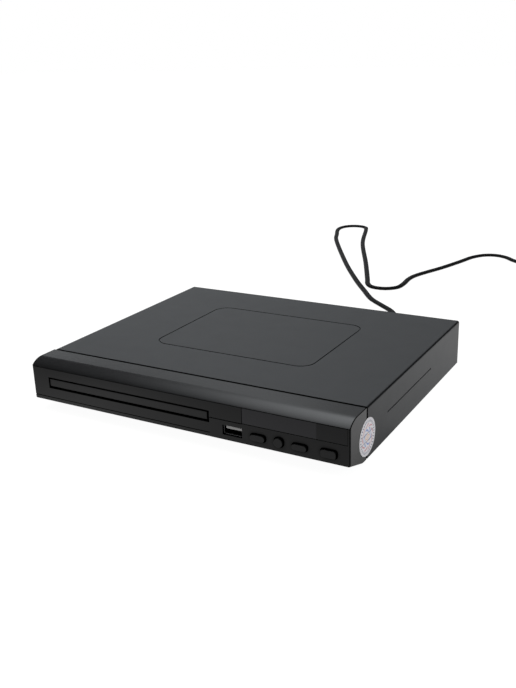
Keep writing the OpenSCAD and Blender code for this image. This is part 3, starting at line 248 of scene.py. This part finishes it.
def lead_profile():
    """Two round-ended lobes side by side, with a shallow waist where the cores meet."""
    ring = []
    for k in range(PROFILE_POINTS):
        angle = 2 * math.pi * (k + 0.5) / PROFILE_POINTS
        sideways = math.cos(angle)
        up = math.copysign(abs(math.sin(angle)) ** LOBE_ROUNDNESS, math.sin(angle))
        waist = 1 - WAIST_DEPTH * math.exp(-(sideways / WAIST_WIDTH) ** 2)
        ring.append((sideways * LEAD_WIDTH / 2 * MM, up * waist * LEAD_THICKNESS / 2 * MM))
    return ring


def make_lead():
    points = route_points()
    points += coil_points(points[-1])
    points += tail_points(points[-1])
    path = [from_cabinet(*p) for p in points]
    lead = sweep("mains_lead", path, lead_profile())
    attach(lead, "cabinet")
    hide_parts("power_cord", "cord_coil")
    return lead


mains_lead = make_lead()


# ---------------------------------------------------------------------------
# Node helpers
# ---------------------------------------------------------------------------

class Tree:
    """Short ways to add nodes to a material or the world."""

    def __init__(self, owner):
        owner.use_nodes = True
        self.nodes, self.links = owner.node_tree.nodes, owner.node_tree.links

    def add(self, kind, **values):
        node = self.nodes.new(kind)
        for name, value in values.items():
            setattr(node, name, value)
        return node

    def put(self, socket, value):
        """Links an output to the socket, or gives it a plain value or colour."""
        if isinstance(value, bpy.types.NodeSocket):
            self.links.new(value, socket)
        elif socket.type == "RGBA":
            socket.default_value = (*value, 1)
        else:
            socket.default_value = value

    def split(self, vector):
        """The X, Y and Z outputs of a vector."""
        node = self.add("ShaderNodeSeparateXYZ")
        self.links.new(vector, node.inputs["Vector"])
        return node.outputs

    def maths(self, operation, a, b=0.0, c=0.0):
        node = self.add("ShaderNodeMath", operation=operation)
        for socket, value in zip(node.inputs, (a, b, c)):
            self.put(socket, value)
        return node.outputs["Value"]

    def product(self, first, *others):
        for other in others:
            first = self.maths("MULTIPLY", first, other)
        return first

    def remainder(self, value):
        """1 less the value."""
        return self.maths("SUBTRACT", 1.0, value)

    def between(self, share, a, b):
        """The value a where the share is 0 and b where it is 1."""
        return self.maths("ADD", a, self.product(share, self.maths("SUBTRACT", b, a)))

    def spread(self, value, span, target, kind="LINEAR"):
        """Goes from one target value to the other over a span, and stays at its ends."""
        node = self.add("ShaderNodeMapRange", interpolation_type=kind)
        self.put(node.inputs["Value"], value)
        node.inputs["From Min"].default_value, node.inputs["From Max"].default_value = span
        node.inputs["To Min"].default_value, node.inputs["To Max"].default_value = target
        return node.outputs["Result"]

    def rise(self, value, start, end):
        return self.spread(value, (start, end), (0.0, 1.0))

    def fall(self, value, start, end):
        return self.spread(value, (start, end), (1.0, 0.0))


# ---------------------------------------------------------------------------
# Materials
# ---------------------------------------------------------------------------

BLACK = (0.0, 0.0, 0.0)
# Share of open sky over a point that counts as deep in a gap, and as open, for painted shade
GAP_TO_OPEN = (0.55, 0.95)


class Shader(Tree):
    """A node material with a Principled surface."""

    def __init__(self, name):
        self.material = bpy.data.materials.new(name)
        super().__init__(self.material)
        self.surface = self.nodes["Principled BSDF"].inputs
        self.place = self.add("ShaderNodeTexCoord").outputs["Object"]

    def axes(self):
        return tuple(self.split(self.place))

    def noise(self, scale, detail=2.0, place=None):
        node = self.add("ShaderNodeTexNoise")
        self.links.new(place or self.place, node.inputs["Vector"])
        node.inputs["Scale"].default_value = scale
        node.inputs["Detail"].default_value = detail
        return node.outputs["Fac"]

    def mix(self, share, a, b):
        """The colour a where the share is 0 and b where it is 1."""
        node = self.add("ShaderNodeMix", data_type="RGBA")
        self.put(node.inputs["Factor"], share)
        self.put(node.inputs["A"], a)
        self.put(node.inputs["B"], b)
        return node.outputs["Result"]

    def open_air(self, distance):
        """1 on open surfaces and 0 deep in a groove or gap, as a mask for painted shade."""
        node = self.add("ShaderNodeAmbientOcclusion", samples=6)
        node.inputs["Distance"].default_value = distance
        return self.rise(node.outputs["AO"], *GAP_TO_OPEN)

    def paint_shade(self, colour, specular, air):
        """Painted shade: darkens the colour and the gloss where air falls from 1 to 0."""
        self.put(self.surface["Base Color"], self.mix(air, BLACK, colour))
        self.put(self.surface["Specular IOR Level"], self.product(air, specular))

    def relief(self, height, strength, depth, edge):
        """Surface relief, over edges rounded by a small radius."""
        bevel = self.add("ShaderNodeBevel", samples=4)
        bevel.inputs["Radius"].default_value = edge
        bump = self.add("ShaderNodeBump")
        bump.inputs["Strength"].default_value = strength
        bump.inputs["Distance"].default_value = depth
        self.links.new(height, bump.inputs["Height"])
        self.links.new(bevel.outputs["Normal"], bump.inputs["Normal"])
        self.links.new(bump.outputs["Normal"], self.surface["Normal"])


def plain(
    name, colour, roughness=0.5, metallic=0.0, specular=0.5, mottle=0.08, mottle_scale=60,
    grain=1400, relief=0.25, depth=0.05 * MM, edge=0.2 * MM, coat=0.0, painted_shade_reach=0.0, lines=None,
):
    """Moulded, painted or plated surface: faint mottling, uneven gloss and a fine grain.

    The painted shade reach is the distance over which painted shade darkens grooves and gaps, and
    lines may add more lines of painted shade.
    """
    s = Shader(name)
    darker = tuple(c * (1 - mottle) for c in colour)
    lighter = tuple(min(1, c * (1 + mottle)) for c in colour)
    body = s.mix(s.noise(mottle_scale, 3), darker, lighter)
    # Painted shade: ambient occlusion darkens colour and gloss in grooves and gaps
    if painted_shade_reach:
        air = s.open_air(painted_shade_reach)
        s.paint_shade(body, specular, lines(s, air) if lines else air)
    else:
        s.put(s.surface["Base Color"], body)
        s.put(s.surface["Specular IOR Level"], specular)
    unevenness = (roughness * (1 - mottle), roughness * (1 + mottle))
    s.put(s.surface["Roughness"], s.spread(s.noise(mottle_scale * 3, 4), (0.3, 0.7), unevenness))
    s.put(s.surface["Metallic"], metallic)
    s.put(s.surface["Coat Weight"], coat)
    s.put(s.surface["Coat Roughness"], 0.08)
    s.relief(s.noise(grain), relief, depth, edge)
    return s


# Painted shade: dark lines where a sheet ends, is folded or is grooved, with the distances over which
# each fades out
RIM_FADE = (0.2 * MM, 0.9 * MM)
FOLD_FADE = (0.6 * MM, 1.2 * MM)
SIDE_GROOVE_FADE = (1.0 * MM, 1.5 * MM)
END_LINE = (0.5 * MM, 0.9 * MM)
FOLD_SHADE = 0.15
SIDE_GROOVE_SHADE = 0.6


def cover_painted_shade(s, air):
    """Painted shade: faint in the grooves on the sides, dark along the folds and along the front rim.
    """
    x, y, z = s.axes()
    inward = s.maths("SUBTRACT", cover_high.x, s.maths("ABSOLUTE", x))
    down = s.maths("SUBTRACT", cover_high.z, z)
    air = s.maths("MAXIMUM", air, s.spread(inward, SIDE_GROOVE_FADE, (SIDE_GROOVE_SHADE, 0.0)))
    # Painted shade along the fold between the top and the sides
    fold = s.spread(s.maths("MAXIMUM", inward, down), FOLD_FADE, (FOLD_SHADE, 1.0))
    # Painted shade along the cover's front rim, widening the seam's dark line
    rim = s.rise(y, *(cover_low.y + fade for fade in RIM_FADE))
    return s.product(air, fold, rim)


def panel_painted_shade(s, air):
    """Painted shade: a dark rear rim, and a dark line along both ends of the front and the shoulder.
    """
    x, y, _ = s.axes()
    facing = s.split(s.add("ShaderNodeNewGeometry").outputs["True Normal"])
    # Painted shade along the panel's ends, away from the end faces themselves
    at_end = s.rise(s.maths("ABSOLUTE", x), panel_high.x - END_LINE[1], panel_high.x - END_LINE[0])
    off_end_face = s.fall(s.maths("ABSOLUTE", facing["X"]), 0.5, 0.7)
    # Painted shade along the rear rim at the seam
    rim = s.rise(y, *(panel_back - fade for fade in RIM_FADE))
    return s.product(air, s.remainder(s.product(at_end, off_end_face)), rim)


def cover_paint():
    """Powder-coated sheet steel with a fine, even grain."""
    return plain(
        "cover_paint", (0.0212, 0.0227, 0.0246), roughness=0.5, specular=0.45,
        mottle=0.02, mottle_scale=25, grain=2600, relief=0.3, depth=0.04 * MM, edge=0.3 * MM,
        # Painted shade in its gaps, along its folds and along its front rim
        painted_shade_reach=2 * MM, lines=cover_painted_shade,
    )


def front_plastic():
    """Satin black moulding."""
    return plain(
        "front_plastic", (0.007, 0.007, 0.0075), roughness=0.2, specular=0.45,
        mottle=0.06, grain=3200, relief=0.15, depth=0.03 * MM, edge=0.25 * MM,
        # Painted shade in its gaps, along its ends and along its rear rim
        painted_shade_reach=3 * MM, lines=panel_painted_shade,
    )


def window_acrylic():
    """Smoked window: glossy over the display and rougher past its end."""
    display_end = 0.717
    display_roughness, end_roughness = 0.16, 0.3
    s = plain(
        "window_acrylic", BLACK, mottle=0.03, grain=700, relief=0.03, depth=0.02 * MM, edge=0.1 * MM,
    )
    x, _, _ = s.axes()
    low, high = corner("display_window", 0).x, corner("display_window", 1).x
    share = s.spread(x, (low, high), (0.0, 1.0))
    past = s.rise(share, display_end - 0.005, display_end + 0.005)
    s.put(s.surface["Base Color"], s.mix(past, (0.031, 0.0305, 0.0345), (0.008, 0.008, 0.009)))
    s.put(s.surface["Roughness"], s.spread(past, (0.0, 1.0), (display_roughness, end_roughness)))
    return s


# The seal's print, in millimetres: each ring of waves has its inner and outer radius, the
# waves round it, their twist for each millimetre outward, their phase and their ink
SEAL_WAVES = [
    (9.2, 10.6, 34, 0.0, 0.0, (0.12, 0.13, 0.2)),
    (6.4, 8.6, 9, 2.4, 0.0, (0.56, 0.3, 0.33)),
    (3.2, 6.0, 6, -2.0, 1.0, (0.26, 0.34, 0.6)),
    (0.0, 3.0, 4, 3.0, 0.0, (0.75, 0.47, 0.3)),
]
SEAL_BORDER = (11.2, 11.6)
SEAL_LINES = (2.4, -2.4)
SEAL_LINE_REACH = 9.2
SEAL_BLUR = 0.15


def seal_paper():
    """Printed round seal: rings, ticks, fine waves and two lines across, with no lettering."""
    s = Shader("seal_paper")
    _, y, z = s.axes()
    centre = (corner("seal_sticker", 0) + corner("seal_sticker", 1)) / 2
    across = s.product(s.maths("SUBTRACT", y, centre.y), 1 / MM)
    up = s.product(s.maths("SUBTRACT", z, centre.z), 1 / MM)
    radius = s.maths("SQRT", s.maths("ADD", s.product(across, across), s.product(up, up)))
    angle = s.maths("ARCTAN2", up, across)

    def ring(low, high):
        inside = s.rise(radius, low - SEAL_BLUR, low + SEAL_BLUR)
        return s.product(inside, s.fall(radius, high - SEAL_BLUR, high + SEAL_BLUR))

    def waves(count, twist, phase):
        turned = s.maths("MULTIPLY_ADD", radius, twist, phase)
        return s.rise(s.maths("SINE", s.maths("MULTIPLY_ADD", angle, count, turned)), 0.1, 0.5)

    def line(height):
        off = s.maths("ABSOLUTE", s.maths("SUBTRACT", up, height))
        return s.product(s.spread(off, (0.15, 0.35), (0.8, 0.0)), ring(0.0, SEAL_LINE_REACH))

    colour = s.mix(s.product(ring(*SEAL_BORDER), 0.6), (0.75, 0.74, 0.765), (0.4, 0.4, 0.45))
    for low, high, count, twist, phase, ink in SEAL_WAVES:
        colour = s.mix(s.product(ring(low, high), waves(count, twist, phase)), colour, ink)
    lines = s.maths("MAXIMUM", *(line(height) for height in SEAL_LINES))
    s.put(s.surface["Base Color"], s.mix(lines, colour, (0.2, 0.2, 0.27)))
    s.put(s.surface["Roughness"], 0.45)
    s.relief(s.noise(1500, 3), 0.15, 0.03 * MM, 0.1 * MM)
    return s


def circuit_board(name, mask, copper):
    """Solder mask with the faint lines of the tracks below it."""
    tracks_in_metre = 400.0
    s = plain(name, mask, roughness=0.4, mottle=0.1, grain=900, relief=0.1)
    x, _, _ = s.axes()
    wavy = s.product(s.maths("ADD", x, s.noise(30, 0)), tracks_in_metre)
    tracks = s.rise(s.maths("PINGPONG", wavy, 1.0), 0.55, 0.6)
    patches = s.rise(s.noise(45, 0), 0.48, 0.5)
    s.put(s.surface["Base Color"], s.mix(s.product(tracks, patches), mask, copper))
    return s


def ribbon_plastic():
    """Flat cable: grey strips with a dark line between the cores, 1 mm apart."""
    s = plain("ribbon_plastic", (0.62, 0.62, 0.63))
    x, _, _ = s.axes()
    strip = s.rise(s.maths("PINGPONG", s.product(x, 1 / MM), 0.5), 0.05, 0.15)
    s.put(s.surface["Base Color"], s.mix(strip, (0.35, 0.35, 0.36), (0.66, 0.66, 0.67)))
    return s


def capacitor_sleeve():
    """Dark shrink sleeve with one pale stripe."""
    stripes_in_metre = 60.0
    blue = (0.015, 0.02, 0.06)
    s = plain("capacitor_sleeve", blue, roughness=0.3)
    x, _, _ = s.axes()
    stripe = s.rise(s.maths("PINGPONG", s.product(x, stripes_in_metre), 1.0), 0.9, 0.93)
    s.put(s.surface["Base Color"], s.mix(stripe, blue, (0.5, 0.5, 0.52)))
    return s


# How much the brushed lines are squeezed along each axis
ALONG_X = (1, 40, 40)
ALONG_Y = (40, 1, 40)
ALONG_Z = (40, 40, 1)
EVEN = (1, 1, 1)


def brushed(name, colour, roughness, squeeze):
    """Plated or brushed sheet with fine lines along one axis."""
    s = plain(name, colour, roughness, metallic=1.0, mottle=0.06)
    scaled = s.add("ShaderNodeMapping")
    scaled.inputs["Scale"].default_value = squeeze
    s.links.new(s.place, scaled.inputs["Vector"])
    s.relief(s.noise(120, 3, scaled.outputs["Vector"]), 0.12, 0.03 * MM, 0.2 * MM)
    return s


def usb_nickel():
    """The USB shell: bright on its rim, with painted shade that darkens it inside the socket."""
    nickel = (0.6, 0.6, 0.62)
    s = plain("plated_steel_usb", nickel, roughness=0.3, metallic=1.0)
    # Painted shade inside the socket
    s.paint_shade(nickel, 0.5, s.open_air(6 * MM))
    return s


# Materials of the record's slots, by the slot's name
MADE = {
    "cover_paint": cover_paint,
    "front_plastic": front_plastic,
    "window_acrylic": window_acrylic,
    "seal_paper": seal_paper,
    "ribbon_plastic": ribbon_plastic,
    "capacitor_sleeve": capacitor_sleeve,
}
PLAIN = {
    # The button and tray plastics carry painted shade in their gaps
    "button_plastic": dict(
        colour=(0.01, 0.01, 0.0105), roughness=0.3, grain=3200, relief=0.1,
        depth=0.03 * MM, edge=0.3 * MM, painted_shade_reach=3 * MM,
    ),
    "tray_plastic": dict(colour=(0.018, 0.018, 0.018), roughness=0.48, specular=0.4, painted_shade_reach=3 * MM),
    "rear_paint": dict(colour=(0.022, 0.022, 0.023), grain=2400, relief=0.3),
    "feet_rubber": dict(colour=(0.02, 0.02, 0.02), roughness=0.75, specular=0.3, mottle=0.15),
    "switch_plastic": dict(colour=(0.5, 0.5, 0.47), roughness=0.45),
    "white_plastic": dict(colour=(0.92, 0.92, 0.9), roughness=0.4, mottle=0.03),
    "loader_plastic": dict(colour=(0.02, 0.02, 0.021)),
    "gear_plastic": dict(colour=(0.78, 0.78, 0.73), roughness=0.38, mottle=0.03),
    "brass_pulley": dict(colour=(0.7, 0.62, 0.3), roughness=0.4, mottle=0.04),
    "belt_rubber": dict(colour=(0.012, 0.012, 0.012), roughness=0.7, specular=0.3),
    "deck_steel": dict(colour=(0.24, 0.25, 0.27), roughness=0.45, metallic=0.4),
    "pickup_metal": dict(colour=(0.4, 0.41, 0.43), metallic=0.8, relief=0.5),
    "lens_glass": dict(colour=(0.35, 0.42, 0.6), roughness=0.05, specular=0.8, coat=1.0),
    "chip_plastic": dict(colour=(0.014, 0.014, 0.015), roughness=0.55),
    "tape_yellow": dict(colour=(0.62, 0.52, 0.08), roughness=0.35, mottle=0.1),
    "black_plastic": dict(colour=(0.016, 0.016, 0.016), roughness=0.42),
    "jack_yellow": dict(colour=(0.78, 0.55, 0.02), roughness=0.35, mottle=0.04),
    "jack_white": dict(colour=(0.8, 0.8, 0.79), roughness=0.35, mottle=0.03),
    "jack_red": dict(colour=(0.55, 0.02, 0.02), roughness=0.35, mottle=0.04),
    "cord_pvc": dict(
        colour=(0.003, 0.003, 0.0033), roughness=0.55, specular=0.12, mottle=0.12,
        mottle_scale=180, grain=1800, relief=0.2, depth=0.03 * MM, edge=0.3 * MM,
    ),
}
BRUSHED = {
    "pan_steel": dict(colour=(0.5, 0.51, 0.53), roughness=0.38, squeeze=ALONG_Y),
    "plated_steel": dict(colour=(0.72, 0.72, 0.74), roughness=0.22, squeeze=ALONG_Y),
    "bridge_steel": dict(colour=(0.55, 0.56, 0.58), roughness=0.35, squeeze=ALONG_X),
    "motor_steel": dict(colour=(0.6, 0.6, 0.62), roughness=0.3, squeeze=ALONG_Z),
    "rod_steel": dict(colour=(0.75, 0.75, 0.77), roughness=0.15, squeeze=ALONG_Y),
    "screw_black": dict(colour=(0.06, 0.06, 0.06), roughness=0.35, squeeze=EVEN),
    "screw_steel": dict(colour=(0.6, 0.6, 0.61), roughness=0.3, squeeze=EVEN),
}
BOARDS = {
    "board_green": dict(mask=(0.02, 0.12, 0.04), copper=(0.04, 0.2, 0.07)),
    "board_tan": dict(mask=(0.26, 0.17, 0.07), copper=(0.32, 0.23, 0.1)),
}


def make_materials():
    """Every slot's material, by the slot's name."""
    shaders = {name: make() for name, make in MADE.items()}
    for make, looks in ((plain, PLAIN), (brushed, BRUSHED), (circuit_board, BOARDS)):
        shaders.update({name: make(name, **look) for name, look in looks.items()})
    return {name: shader.material for name, shader in shaders.items()}


def dress(node, material):
    """Gives a CAD node one material."""
    materials = frame["nodes"][node].data.materials
    materials.clear()
    materials.append(material)


slots = make_materials()
for part in frame["record"]["subparts"]:
    dress(part["node"], slots[part["material_slot"]])
dress("usb_shell", usb_nickel().material)
mains_lead.data.materials.append(slots["cord_pvc"])


# ---------------------------------------------------------------------------
# Studio
# ---------------------------------------------------------------------------

WHITE = (1.0, 1.0, 1.0)
COOL = (0.955, 0.99, 1.02)

FILL = 0.45

# What the world shows to reflections, as ramps: the span of a direction's X, Y or Z over
# which the strength changes, and the strength at both ends of it. -X is to the left.
WALL_LOWER_X = ((-0.75, -0.35), (0.7, 0.25))
WALL_LOWER_Z = ((0.26, 0.42), (1.62, 0.5))
WALL_UPPER_X = ((-0.62, -0.42), (0.1, 0.78))
WALL_UPPER_END = ((-0.41, -0.37), (1.0, 0.6))
WALL_SLOPE = 0.277
WALL_SPLIT = ((0.485, 0.515), (0.0, 1.0))
WALL_RIGHT_END = ((0.0, 0.2), (1.0, 0.0))
WALL_NEAR_END = ((0.0, 0.35), (0.0, 1.0))
BOX_X = ((-0.62, -0.32), (0.2, 3.5))
BOX_RIGHT_END = ((-0.3, -0.1), (1.0, 0.0))
BOX_Y = ((-0.5, 0.1), (0.45, 1.0))
OVERHEAD = ((0.5, 0.9), (0.0, 1.0))

# The floor: its own colour, its glow where it is seen, and its strength in reflections, as
# ramps over X from the middle, over the way behind the cabinet's front, or off its right side
FLOOR_REACH = 6
FLOOR_COLOUR = (0.13, 0.13, 0.13)
FLOOR_GLOW = 0.955
FLOOR_BEHIND = ((0.0, 0.01), (0.0, 1.0))
FLOOR_BESIDE = ((0.0, 0.006), (0.0, 1.0))
FRONT_FLOOR = ((-0.12, -0.015), (0.19, 0.61))
FRONT_FLOOR_LEFT = ((-0.17, -0.08), (0.62, 1.0))
FRONT_FLOOR_RIGHT = ((-0.15, 0.1), (1.0, 0.49))
SIDE_FLOOR = ((0.03, 0.33), (0.53, 1.01))
SIDE_FLOOR_OUT = ((0.11, 0.15), (0.4, 1.0))
SIDE_FLOOR_BACK = ((0.04, 0.09), (0.0, 1.0))


class Studio(Tree):
    """Nodes for the world and the floor, which look different to each kind of ray."""

    def __init__(self, owner):
        super().__init__(owner)
        self.nodes.clear()
        ray = self.add("ShaderNodeLightPath").outputs
        self.seen = self.maths("MAXIMUM", ray["Is Camera Ray"], ray["Is Transmission Ray"])
        self.reflected = ray["Is Glossy Ray"]

    def ramp(self, value, ramp):
        return self.spread(value, *ramp, kind="SMOOTHSTEP")

    def choose(self, share, a, b):
        node = self.add("ShaderNodeMixShader")
        for socket, value in zip(node.inputs, (share, a, b)):
            self.links.new(value, socket)
        return node.outputs[0]

    def glow(self, kind, strength, colour=WHITE):
        """A background or emission node."""
        node = self.add(kind)
        self.put(node.inputs["Color"], colour)
        self.put(node.inputs["Strength"], strength)
        return node.outputs[0]


def make_world():
    """White where it is seen, a plain fill for lighting, and soft boxes where it is reflected."""
    world = bpy.data.worlds.new("studio")
    bpy.context.scene.world = world
    s = Studio(world)
    way = s.split(s.add("ShaderNodeTexCoord").outputs["Generated"])
    # A wall behind the object, brighter to the left and lower down, and evener in its upper part
    lower = s.product(s.ramp(way["X"], WALL_LOWER_X), s.ramp(way["Z"], WALL_LOWER_Z))
    upper = s.product(s.ramp(way["X"], WALL_UPPER_X), s.ramp(way["X"], WALL_UPPER_END))
    slanted = s.maths("SUBTRACT", way["Z"], s.product(way["X"], WALL_SLOPE))
    wall = s.product(
        s.between(s.ramp(slanted, WALL_SPLIT), lower, upper),
        s.ramp(way["X"], WALL_RIGHT_END),
        s.ramp(way["Y"], WALL_NEAR_END),
    )
    # A box overhead, brighter to the right and dimmer towards the front
    box = s.product(s.ramp(way["X"], BOX_X), s.ramp(way["X"], BOX_RIGHT_END), s.ramp(way["Y"], BOX_Y))
    light = s.glow("ShaderNodeBackground", FILL)
    mirrored = s.between(s.ramp(way["Z"], OVERHEAD), wall, box)
    mirror = s.glow("ShaderNodeBackground", mirrored, COOL)
    white = s.glow("ShaderNodeBackground", 1.0)
    surface = s.choose(s.seen, s.choose(s.reflected, light, mirror), white)
    s.links.new(surface, s.add("ShaderNodeOutputWorld").inputs["Surface"])


def make_floor():
    """White sweep: it keeps the object's shadow, and glows a little so that it reads white."""
    corners = [(-1, -1), (1, -1), (1, 1), (-1, 1)]
    verts = [(x * FLOOR_REACH, y * FLOOR_REACH, 0) for x, y in corners]
    floor = new_object("floor", verts, [(0, 1, 2, 3)])
    material = bpy.data.materials.new("floor")
    s = Studio(material)
    x, y, _ = s.split(s.add("ShaderNodeTexCoord").outputs["Object"])
    past_front = s.maths("SUBTRACT", y, cabinet.y)
    past_side = s.maths("SUBTRACT", x, panel_high.x)
    behind = s.ramp(past_front, FLOOR_BEHIND)
    # In reflections it darkens away from the front, and is dark off the front right corner
    ahead = s.product(
        s.ramp(past_front, FRONT_FLOOR),
        s.ramp(x, FRONT_FLOOR_LEFT),
        s.ramp(x, FRONT_FLOOR_RIGHT),
        s.remainder(s.ramp(past_side, FLOOR_BESIDE)),
        s.remainder(behind),
    )
    clear = s.maths("MAXIMUM", s.ramp(x, SIDE_FLOOR_OUT), s.ramp(past_front, SIDE_FLOOR_BACK))
    side = s.product(behind, clear, s.ramp(past_front, SIDE_FLOOR))
    mirrored = s.product(s.reflected, s.maths("ADD", ahead, side))
    strength = s.maths("ADD", s.product(s.seen, FLOOR_GLOW), mirrored)
    paper = s.add("ShaderNodeBsdfDiffuse")
    s.put(paper.inputs["Color"], FLOOR_COLOUR)
    both = s.add("ShaderNodeAddShader")
    s.links.new(paper.outputs[0], both.inputs[0])
    s.links.new(s.glow("ShaderNodeEmission", strength), both.inputs[1])
    s.links.new(both.outputs[0], s.add("ShaderNodeOutputMaterial").inputs["Surface"])
    floor.data.materials.append(material)


def area_light(name, place, aim, size, glow):
    """A square soft box of a given side and radiance, left out of reflections."""
    data = bpy.data.lights.new(name, "AREA")
    data.shape = "SQUARE"
    data.size = size
    data.energy = glow * math.pi * size * size
    light = bpy.data.objects.new(name, data)
    light.visible_glossy = False
    bpy.context.scene.collection.objects.link(light)
    turn = (Vector(place) - Vector(aim)).to_track_quat("Z", "Y").to_matrix().to_4x4()
    light.matrix_world = Matrix.Translation(place) @ turn


make_world()
make_floor()
area_light("top_light", place=(-0.15, 0.0, 1.25), aim=(-0.15, 0.0, 0.0), size=1.4, glow=1.3)
area_light("side_light", place=(1.4, 0.2, 0.5), aim=(0.0, 0.0, 0.02), size=0.9, glow=3.9)

bpy.context.scene.view_settings.view_transform = "Standard"
